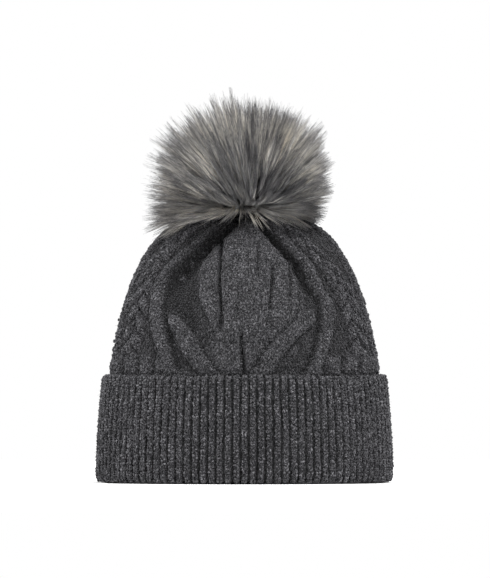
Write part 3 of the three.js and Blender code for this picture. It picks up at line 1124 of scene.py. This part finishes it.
class BEANIE_OT_cuff(BeanieOperator, Operator):
    """Knit the ribbed cuff and its stitches"""

    bl_idname = "beanie.cuff"
    bl_label = "Knit the cuff"

    # Depths in the ribs, in millimetres, over which the wool's painted shade fades from darkest to none.
    hollow = (-3.3, 0.3)

    def execute(self, context):
        self.band()
        self.stitches()
        return {"FINISHED"}

    def band(self):
        columns = self.knit.ribs * 6
        turn = turn_at(np.arange(columns) / columns)[None, :]
        along = CUFF_PATH[::-1, 4][:, None]
        outer = cuff_point(turn + 0 * along, along + 0 * turn, self.knit)
        inside = []
        for outward, height in self.inner_section():
            inside.append(level_point(turn[0], outward + 0 * turn[0], height + 0 * turn[0]))
        points = np.concatenate([outer, np.array(inside)])
        band = ring_object("cuff_band", points)
        # Heights of the ribs, in millimetres, for the wool's painted shade in the furrows.
        height = np.zeros(points.shape[:2])
        height[: len(along)] = rib_relief(turn, along, self.knit) / MM
        attribute(band.data, "height_in_knit", "FLOAT", height)
        material = wool("cuff wool", self.colours, 0.72, hollow=self.hollow)
        place(band, "hat", "rib_cuff", material)

    def inner_section(self):
        """Down the cuff's inner face, then inward over the fold under the wall."""
        section = [(CLEARANCE, height) for height in np.linspace(CUFF_HIGH.z - 4 * MM, FOLD, 5)]
        return section + [(-KNIT, FOLD), (-KNIT, CUFF_UNDER)]

    def stitches(self):
        knit = self.knit
        along = np.arange(1.5 * MM, CUFF_LENGTH - 3 * MM, knit.rib_course)
        row, column = np.meshgrid(np.arange(len(along)), np.arange(knit.ribs), indexing="ij")
        turn = turn_at(column.ravel() / knit.ribs)
        loops = stitch_loops(
            turn, along[row.ravel()], knit, cuff_down, rib_relief_down,
            pitch=4.3 * MM, course=knit.rib_course, seed=23, stray=0.07,
        )
        loops["points"][:, 2] = np.maximum(loops["points"][:, 2], 1.5 * MM)
        material = wool("cuff stitch wool", self.colours, 0.80, loops=True, hollow=self.hollow)
        made = yarn_loops("cuff_stitches", loops, material)
        place(made, "hat", "rib_cuff")


class BEANIE_OT_haze(BeanieOperator, Operator):
    """Raise a haze of loose fibres off the wool"""

    bl_idname = "beanie.haze"
    bl_label = "Raise the haze"

    def execute(self, context):
        chance = np.random.default_rng(31)
        material = haze_wool("loose fibre", self.colours)
        low, high = climb_at_height(CUFF_HIGH.z - 2 * MM), climb_at_radius(14 * MM)
        wall = int(self.knit.haze * 0.6)
        climb = low + (high - low) * chance.random(3 * wall)
        climb = climb[chance.random(3 * wall) < station(climb)[0] / HALF_WIDTH][:wall]
        turn = turn_at(chance.random(len(climb)))
        haze = self.fibres("body_haze", wall_frame(turn, climb, self.knit), chance, material)
        place(haze, "hat", "knit_body")
        cuff = self.knit.haze - wall
        along = CUFF_LENGTH * chance.random(cuff)
        found = wall_frame(turn_at(chance.random(cuff)), along, self.knit, cuff_down)
        haze = self.fibres("cuff_haze", found, chance, material)
        place(haze, "hat", "rib_cuff")
        return {"FINISHED"}

    def fibres(self, name, found, chance, material):
        point, normal = found[:2]
        drift = unit(chance.standard_normal(point.shape))
        reach = MM * (1.4 + 2.6 * chance.random(len(point)) ** 2)[:, None]
        middle = point + unit(normal * 0.9 + drift) * reach * 0.6
        curl = 0.6 * unit(chance.standard_normal(point.shape))
        tip = middle + unit(normal * 0.3 + drift + curl) * reach * 0.5
        lines = np.stack([point, middle, tip], axis=1)
        lines[..., 2] = np.maximum(lines[..., 2], 0.2 * MM)
        source = polylines(name, lines, taper=np.array([[1.0, 0.8, 0.3]]))
        radius = self.knit.haze_radius
        return grown(name, source, hair_tree(), Material=material, Sides=3, Radius=radius)


class BEANIE_OT_trim(BeanieOperator, Operator):
    """Finish the seam, the label, the draw yarn and the felt disc"""

    bl_idname = "beanie.trim"
    bl_label = "Finish the trim"

    def execute(self, context):
        # The seam and tie have no heights in the knit, so this range leaves them without painted shade.
        flat = (-1.0, 0.0)
        dress("back_seam", wool("seam wool", self.colours, hollow=flat))
        dress("care_label", tape("satin tape"))
        yarn = twisted_ring("crown_tie", "crown_draw_yarn", plies=2, twists=14)
        material = wool("tie wool", self.colours, 1.2, hollow=flat)
        place(yarn, "hat", "crown_draw_yarn", material)
        low, high = box_mm("crown_backing_disc")
        hole = 2.1
        outline = [(hole, low.z), (high.x, low.z), (high.x, high.z), (hole, high.z)]
        disc = turned("felt_disc", outline, 0.5, loop=True)
        felt = fibrous("grey felt", (0.03, 0.03, 0.032), (0.09, 0.09, 0.094), 700)
        place(disc, "hat", "crown_backing_disc", felt)
        return {"FINISHED"}


class BEANIE_OT_snap(BeanieOperator, Operator):
    """Turn the ring snap: its socket, rivet, spring ring and stud"""

    bl_idname = "beanie.snap"
    bl_label = "Turn the snap"

    def execute(self, context):
        plate = metal("nickel plate")
        self.socket(plate)
        self.rivet(plate)
        self.stud(plate)
        dress("snap_spring", metal("spring wire"))
        return {"FINISHED"}

    def socket(self, plate):
        """A cup with a groove round its wall that holds the spring ring."""
        low, high = box_mm("snap_socket")
        spring_low, spring_high = box_mm("snap_spring")
        hole, recess, play = 2.1, 3.6, 0.3
        groove, groove_low = spring_high.x + play, spring_low.z - play
        floor, rim = low.z + 0.8, high.z - 0.5
        outline = [
            (hole, low.z), (high.x, low.z), (high.x, high.z), (recess, high.z), (recess, rim),
            (groove, rim), (groove, groove_low), (recess, groove_low), (recess, floor), (hole, floor),
        ]
        socket = turned("socket_cup", outline, 0.25, loop=True)
        place(socket, "hat", "snap_socket", plate)

    def rivet(self, plate):
        low, high = box_mm("socket_post")
        shaft, head = 1.8, 2.6
        foot, neck = low.z + 0.8, high.z - 0.6
        outline = [
            (0, low.z), (high.x, low.z), (high.x, foot), (shaft, foot), (shaft, neck), (head, neck),
            (head, high.z), (0, high.z),
        ]
        rivet = turned("socket_rivet", outline, 0.2)
        place(rivet, "hat", "socket_post", plate)

    def stud(self, plate):
        low, high = box_mm("snap_stud")
        neck, bulb, bulge = 2.8, 3.3, 1.2
        plate_low = high.z - 1.0
        outline = [
            (0, low.z), (neck, low.z), (bulb, low.z + bulge / 2), (neck, low.z + bulge),
            (neck, plate_low), (high.x, plate_low), (high.x, high.z), (0, high.z),
        ]
        stud = turned("stud_button", outline, 0.25)
        place(stud, "stud", "snap_stud", plate)


class BEANIE_OT_pom_core(BeanieOperator, Operator):
    """Sew the pom's core: pelt, stuffing, base disc, draw thread and bound shank"""

    bl_idname = "beanie.pom_core"
    bl_label = "Sew the pom's core"

    def execute(self, context):
        thread = fibrous("waxed thread", (0.02, 0.02, 0.022), (0.07, 0.07, 0.075), 1500, deep=0.05)
        self.pelt()
        self.stuffing()
        self.base_disc()
        ring = twisted_ring("gather_thread", "pom_draw_thread", plies=3, twists=18)
        place(ring, "pom", "pom_draw_thread", thread)
        self.shank(thread)
        return {"FINISHED"}

    def pelt(self):
        """The backing cloth, in pleats where it is drawn up round its opening."""
        columns, rows, pleats, cloth_thick = 144, 40, 18, 1.2 * MM
        ball = PELT_HIGH.x
        centre = PELT_HIGH.z - ball
        opening = math.sqrt(ball**2 - (centre - PELT_LOW.z) ** 2)
        start = -math.acos(min(1.0, opening / ball))
        rise = np.linspace(start, math.pi / 2, rows)[:, None]
        turn = full_turn(columns)[None, :]
        pleat = 0.5 * MM * (np.cos(pleats * turn) - 1) * (1 - fade(rise, start, start + 0.9))
        faces = []
        for inset, climb, folds in ((0.0, rise, pleat), (cloth_thick, rise[::-1], pleat[::-1] * 0.5)):
            reach = ball - inset + folds
            faces.append(rings(reach * np.cos(climb), turn, centre + reach * np.sin(climb)))
        pelt = ring_object("pelt_backing", np.concatenate(faces), welded=True)
        cloth = fibrous("pelt cloth", (0.03, 0.028, 0.026), (0.075, 0.07, 0.066), 900)
        place(pelt, "pom", "pom_pelt", cloth)

    def stuffing(self):
        """Fibre filling, lumpy where it has balled, and flat on the base disc."""
        low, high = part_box("pom_stuffing")
        ball = high.x
        centre = np.array([0, 0, high.z - ball])
        work = bmesh.new()
        bmesh.ops.create_icosphere(work, subdivisions=4, radius=1)
        mesh = bpy.data.meshes.new("stuffing")
        work.to_mesh(mesh)
        work.free()
        way = np.empty(3 * len(mesh.vertices), np.float32)
        mesh.vertices.foreach_get("co", way)
        way = way.reshape(-1, 3)
        x, y, z = way.T
        lumps = np.sin(5 * x + 2 * y) * np.sin(6 * y - z) * np.sin(5 * z + 1)
        points = centre + way * (ball * (0.965 + 0.035 * lumps))[:, None]
        points[:, 2] = np.maximum(points[:, 2], low.z)
        mesh.vertices.foreach_set("co", points.astype(np.float32).ravel())
        mesh.shade_smooth()
        filling = scene_object("stuffing", mesh)
        fibre = fibrous("polyester filling", grey(0.55), grey(0.82), 260, deep=0.6)
        place(filling, "pom", "pom_stuffing", fibre)

    def base_disc(self):
        low, high = box_mm("pom_base_disc")
        neck, under = 1.6, high.z - 1.2
        outline = [
            (0, low.z), (neck, low.z), (neck, under), (high.x, under), (high.x, high.z), (0, high.z),
        ]
        disc = turned("base_disc", outline, 0.35)
        felt = fibrous("stiff felt", grey(0.05), grey(0.12), 800)
        place(disc, "pom", "pom_base_disc", felt)

    def shank(self, thread):
        """Thread wound round the strands that hold the pom."""
        low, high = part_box("pom_shank")
        columns, rows, wraps = 48, 60, 5
        rise = np.linspace(0, 1, rows)[:, None]
        turn = full_turn(columns)[None, :]
        coil = np.abs(np.sin(math.pi * (rise * wraps + turn / (2 * math.pi))))
        reach = high.x * (0.84 + 0.16 * coil)
        wall = rings(reach, turn, low.z + (high.z - low.z) * rise)
        foot, head = (np.broadcast_to((0.0, 0.0, end), (1, columns, 3)) for end in (low.z, high.z))
        points = np.concatenate([foot, wall, head])
        made = ring_object("bound_shank", points, closed_rows=False, welded=True)
        place(made, "stud", "pom_shank", thread)


# Where the hairs seem to run together, a little off the crown's middle.
GATHER = np.array([8 * MM, -4 * MM, CROWN + 1 * MM])


class BEANIE_OT_fur(BeanieOperator, Operator):
    """Grow the pom's long hair in locks from its gathered base"""

    bl_idname = "beanie.fur"
    bl_label = "Grow the fur"

    steps = 5
    pieces = 5

    # The pom's outline as (degrees up from +X, reach in millimetres), and its reach to the front.
    outline = [
        (-60, 44), (-15, 50), (0, 54), (30, 69), (60, 85), (90, 90), (120, 95), (150, 93),
        (180, 83), (197, 86), (240, 60),
    ]
    front_reach = 72

    def execute(self, context):
        points, shade = self.hairs()
        along = np.linspace(0, 1, self.steps)[None, :]
        taper = np.array([0.9, 1.0, 0.95, 0.80, 0.22])[None, :]
        material = fur("long fur", self.colours)
        tree = hair_tree()
        for i, group in enumerate(np.array_split(np.arange(len(points)), self.pieces), start=1):
            name, each = f"pom_fur_{i}", shade[group, None]
            lines = polylines(name, points[group], along=along, shade=each, taper=taper)
            made = grown(name, lines, tree, Material=material, Sides=3, Radius=self.fur.radius)
            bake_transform(made)
            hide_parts("pom_fur")
        return {"FINISHED"}

    def reach(self, way):
        """How far the fur reaches from its gathered base in each direction, in metres."""
        angle = np.degrees(np.arctan2(way[:, 2], way[:, 0]))
        angle = np.where(angle < -90, angle + 360, angle)
        seen = follow(self.outline, angle)
        flat = np.hypot(way[:, 0], way[:, 2]) ** 1.5
        return MM * (seen * flat + self.front_reach * (1 - flat))

    def hairs(self):
        """Hairs gather into fine tufts, and tufts into locks that bend together."""
        chance = np.random.default_rng(5)
        number, tufts, locks = self.fur.hairs, self.fur.tufts, self.fur.locks
        centre = np.array([0, 0, (PELT_LOW.z + PELT_HIGH.z) / 2])
        ball = (PELT_HIGH.x - PELT_LOW.x) / 2
        way = self.ways(number, chance)
        tuft = nearest_of(way, way[:tufts])
        lock = nearest_of(way[:tufts], way[:locks])[tuft]
        polar = np.arccos(np.clip(way[:, 2], -1, 1))
        round_way = np.arctan2(way[:, 1], way[:, 0])
        # The roots spread over the whole pelt, down to its opening.
        spread, opening = 1.62, 2.82
        wide = np.clip(polar * spread, 0, opening)
        level = [np.sin(wide) * np.cos(round_way), np.sin(wide) * np.sin(round_way)]
        root = centre + ball * np.stack([*level, np.cos(wide)], axis=-1)
        # The tips, with long and short tufts and locks, and a few tufts that stray out.
        stretch = 0.90 + 0.11 * chance.random(tufts)
        stretch = stretch * (0.95 + 0.09 * chance.random(locks))[lock[:tufts]]
        stray_share, stray = 0.05, 1.02
        stretch = stretch * np.where(chance.random(tufts) < stray_share, stray, 1.0)
        reach = self.reach(way) * (0.74 + 0.27 * chance.random(number) ** 0.8) * stretch[tuft]
        tip = GATHER + way * reach[:, None]
        tuft_way = unit(way[:tufts] + 0.025 * chance.standard_normal((tufts, 3)))
        tuft_tip = GATHER + tuft_way * (self.reach(tuft_way) * stretch)[:, None]
        # How the hairs bend: by locks most, then by tufts, then each on its own.
        lock_bend, tuft_bend, hair_bend, sag = 6 * MM, 2.0 * MM, 0.9 * MM, 1.0 * MM
        bend = lock_bend * chance.standard_normal((locks, 3))
        bend[:, 2] -= sag
        tuft_bend = tuft_bend * chance.standard_normal((tufts, 3))
        own = hair_bend * chance.standard_normal((number, 3))
        bends = (bend[lock] + tuft_bend[tuft] + own)[:, None, :]
        t = np.linspace(0, 1, self.steps)[None, :, None]
        pull = self.fur.clumping * (0.45 + 0.5 * chance.random(number))[:, None, None] * t**1.2
        goal = tip[:, None, :] * (1 - pull) + tuft_tip[tuft][:, None, :] * pull
        knee, bulge, droop = 0.42, 0.22, 0.20
        middle = GATHER + way * (knee * reach)[:, None]
        middle[:, 1] += way[:, 1] * bulge * reach
        middle[:, 2] -= np.abs(way[:, 1]) * droop * reach
        # The lowest hairs leave the pelt's opening sideways, along the crown.
        under = fade(wide, 2.0, 2.55)[:, None]
        along_crown = [root[:, 0] * 1.5, root[:, 1] * 1.5, np.full(number, CROWN + 1 * MM)]
        middle = middle * (1 - under) + np.stack(along_crown, axis=-1) * under
        line = bow(root[:, None, :], middle[:, None, :], goal, t) + bends * (t**2 - 0.45 * t)
        line = keep_above_crown(self.trimmed(line, GATHER))
        # The shades: by hair, tuft and lock at random, and painted shade on the upper hairs that face
        # front or back.
        by_hair, by_tuft, by_lock = 0.16, 0.16, 0.15
        tone = 0.60 + by_hair * chance.standard_normal(number)
        tone = tone + by_tuft * chance.standard_normal(tufts)[tuft]
        tone += by_lock * chance.standard_normal(locks)[lock]
        # Painted shade: the upper hairs that face front or back darken, for the shadow deep in the middle
        # of the fur.
        tone -= 0.78 * way[:, 1] ** 4 * np.clip((way[:, 2] + 0.1) / 0.4, 0, 1)
        tone += 0.07 * np.sin(2.5 * round_way + 4 * polar + 1.0)
        low_line = self.underfur(centre, ball, chance)
        low_tone = 0.40 + 0.14 * chance.standard_normal(len(low_line))
        tones = np.concatenate([tone, low_tone])
        return np.concatenate([line, low_line]), np.clip(tones, 0, 1)

    def trimmed(self, line, base):
        """Draws in the points that have strayed beyond the fur's reach."""
        offset = (line - base).reshape(-1, 3)
        far = np.linalg.norm(offset, axis=1, keepdims=True) + 1e-9
        allowed = 1.06
        most = allowed * self.reach(offset / far)[:, None]
        return base + (offset * np.minimum(1, most / far)).reshape(line.shape)

    def underfur(self, centre, ball, chance):
        """Short hair round the pelt's opening, which lies on the crown and hides the snap."""
        number = self.fur.hairs // 9
        swing = 2 * math.pi * chance.random(number)
        wide = 2.2 + 0.6 * chance.random(number)
        side = np.stack([np.cos(swing), np.sin(swing), 0 * swing], axis=-1)
        up = np.array([0, 0, 1])
        root = centre + ball * (side * np.sin(wide)[:, None] + up * np.cos(wide)[:, None])
        reach = (16 + 30 * chance.random(number))[:, None] * MM
        knee = side * (9 * MM + 0.15 * reach)
        knee[:, 2] = CROWN + 1 * MM
        tip = side * reach * np.array([1, DEPTH_RATIO, 1])
        tip[:, 2] = CROWN + 5 * MM * chance.random(number) ** 2 - 3 * MM
        tip = tip + 2 * MM * chance.standard_normal(tip.shape)
        t = np.linspace(0, 1, self.steps)[None, :, None]
        line = bow(root[:, None, :], knee[:, None, :], tip[:, None, :], t)
        return keep_above_crown(line, 1.0 * MM)

    def ways(self, number, chance):
        """Directions the hairs end up pointing, even over the top and sides, with a low skirt."""
        lift = 1 - 1.22 * (np.arange(number) + 0.5) / number
        swing = math.pi * (1 + 5**0.5) * np.arange(number)
        flat = np.sqrt(1 - lift**2)
        way = np.stack([flat * np.cos(swing), flat * np.sin(swing), lift], axis=-1)
        way = way[chance.permutation(number)]
        way = unit(way + 0.05 * chance.standard_normal(way.shape))
        # Hairs that face the front or back rise a little, and the low ones part to either side.
        facing = way[:, 1] ** 2
        low = np.clip((0.5 - way[:, 2]) / 0.6, 0, 1)
        way[:, 0] += 0.4 * facing * low * way[:, 0] / (np.abs(way[:, 0]) + 0.12)
        way[:, 2] += 0.10 * facing * (1 - way[:, 2])
        return unit(way)


def nearest_of(ways, picks):
    """For each direction, which of the picked directions is closest."""
    found = np.empty(len(ways), int)
    picks = picks.astype(np.float32)
    batch = 2000
    for start in range(0, len(ways), batch):
        part = ways[start : start + batch].astype(np.float32)
        found[start : start + batch] = np.argmax(part @ picks.T, axis=1)
    return found


def keep_above_crown(line, gap=1.8 * MM):
    """Lifts the points of hairs that would pass through the knitted crown."""
    lifted = line.copy()
    radius = np.hypot(line[..., 0], line[..., 1] / DEPTH_RATIO)
    share_out = np.clip(radius / HALF_WIDTH, 0, 0.999)
    crown = CROWN * (1 - share_out**SHOULDER) ** (1 / RISE) + gap
    lifted[..., 2] = np.maximum(line[..., 2], crown)
    return lifted


class BEANIE_PT_panel(Panel):
    """Lists the steps that make the beanie"""

    bl_idname = "BEANIE_PT_panel"
    bl_label = "Pom Pom Beanie"
    bl_space_type = "VIEW_3D"
    bl_region_type = "UI"
    bl_category = "Beanie"

    def draw(self, context):
        column = self.layout.column()
        for step in STEPS:
            column.operator(step.bl_idname)
        scene = context.scene
        for group in (scene.beanie_knit, scene.beanie_fur, scene.beanie_colours):
            for key in group.bl_rna.properties.keys():
                if key not in ("rna_type", "name"):
                    column.prop(group, key)


STEPS = (
    BEANIE_OT_stage,
    BEANIE_OT_body,
    BEANIE_OT_cuff,
    BEANIE_OT_haze,
    BEANIE_OT_trim,
    BEANIE_OT_snap,
    BEANIE_OT_pom_core,
    BEANIE_OT_fur,
)
CLASSES = (
    BeanieKnitSettings,
    BeanieFurSettings,
    BeanieColourSettings,
    *STEPS,
    BEANIE_PT_panel,
)


def register():
    for item in CLASSES:
        bpy.utils.register_class(item)
    bpy.types.Scene.beanie_knit = PointerProperty(type=BeanieKnitSettings)
    bpy.types.Scene.beanie_fur = PointerProperty(type=BeanieFurSettings)
    bpy.types.Scene.beanie_colours = PointerProperty(type=BeanieColourSettings)


def unregister():
    del bpy.types.Scene.beanie_colours
    del bpy.types.Scene.beanie_fur
    del bpy.types.Scene.beanie_knit
    for item in reversed(CLASSES):
        bpy.utils.unregister_class(item)


def main():
    register()
    bpy.ops.beanie.stage()
    bpy.ops.beanie.body()
    bpy.ops.beanie.cuff()
    bpy.ops.beanie.haze()
    bpy.ops.beanie.trim()
    bpy.ops.beanie.snap()
    bpy.ops.beanie.pom_core()
    bpy.ops.beanie.fur()
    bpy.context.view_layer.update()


if __name__ == "__main__":
    main()
